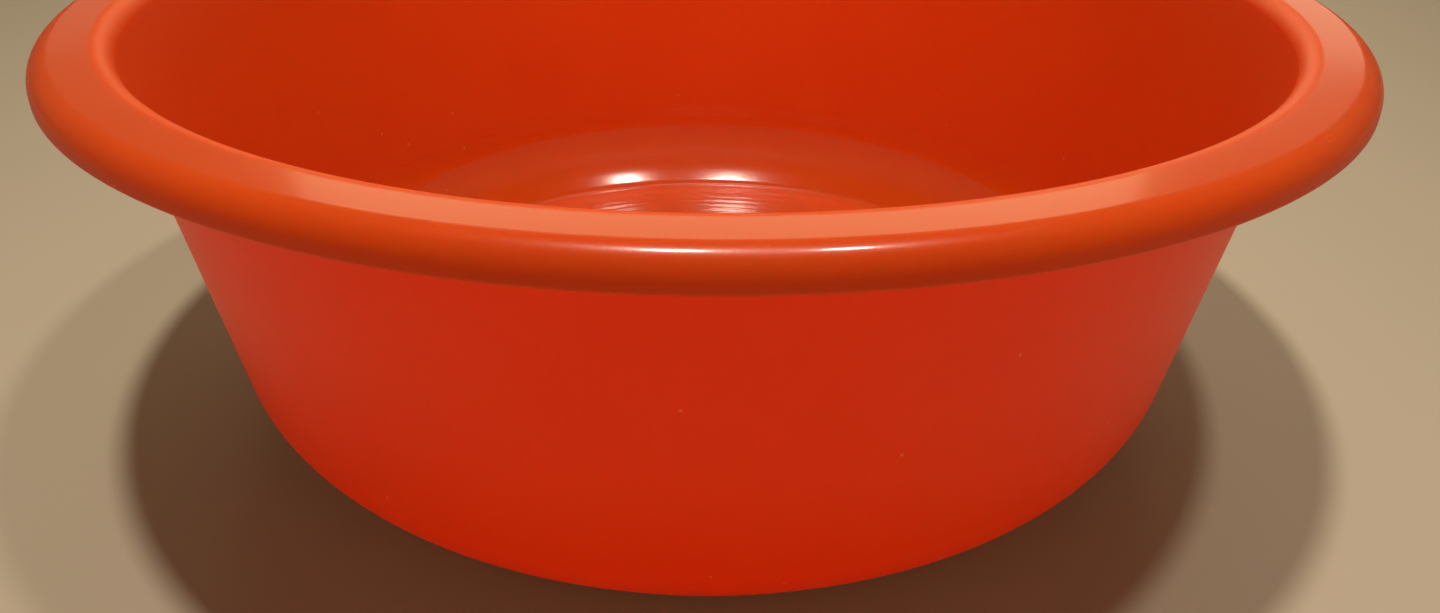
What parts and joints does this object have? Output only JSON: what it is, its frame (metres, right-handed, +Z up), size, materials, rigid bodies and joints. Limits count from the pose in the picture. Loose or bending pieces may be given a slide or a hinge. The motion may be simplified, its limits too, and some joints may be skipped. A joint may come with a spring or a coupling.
{
  "type": "washing up bowl",
  "caption": "Round plastic washing up bowl with a tapered wall, a sloping foot and a broad turned-down rim, for dishes or small laundry.",
  "frame": {"origin": "centre of the standing ring under the base, on the surface that the bowl stands on", "axes": "+Z up along the bowl's axis, from the base to the mouth; X and Y are level and equal"},
  "size_m": [0.3799, 0.38, 0.131],
  "materials": {
    "bowl_plastic": "glossy orange-red polypropylene, satin on the outside of the wall"
  },
  "bodies": {
    "root": {"bowl": "bowl_plastic"}
  },
  "joints": []
}
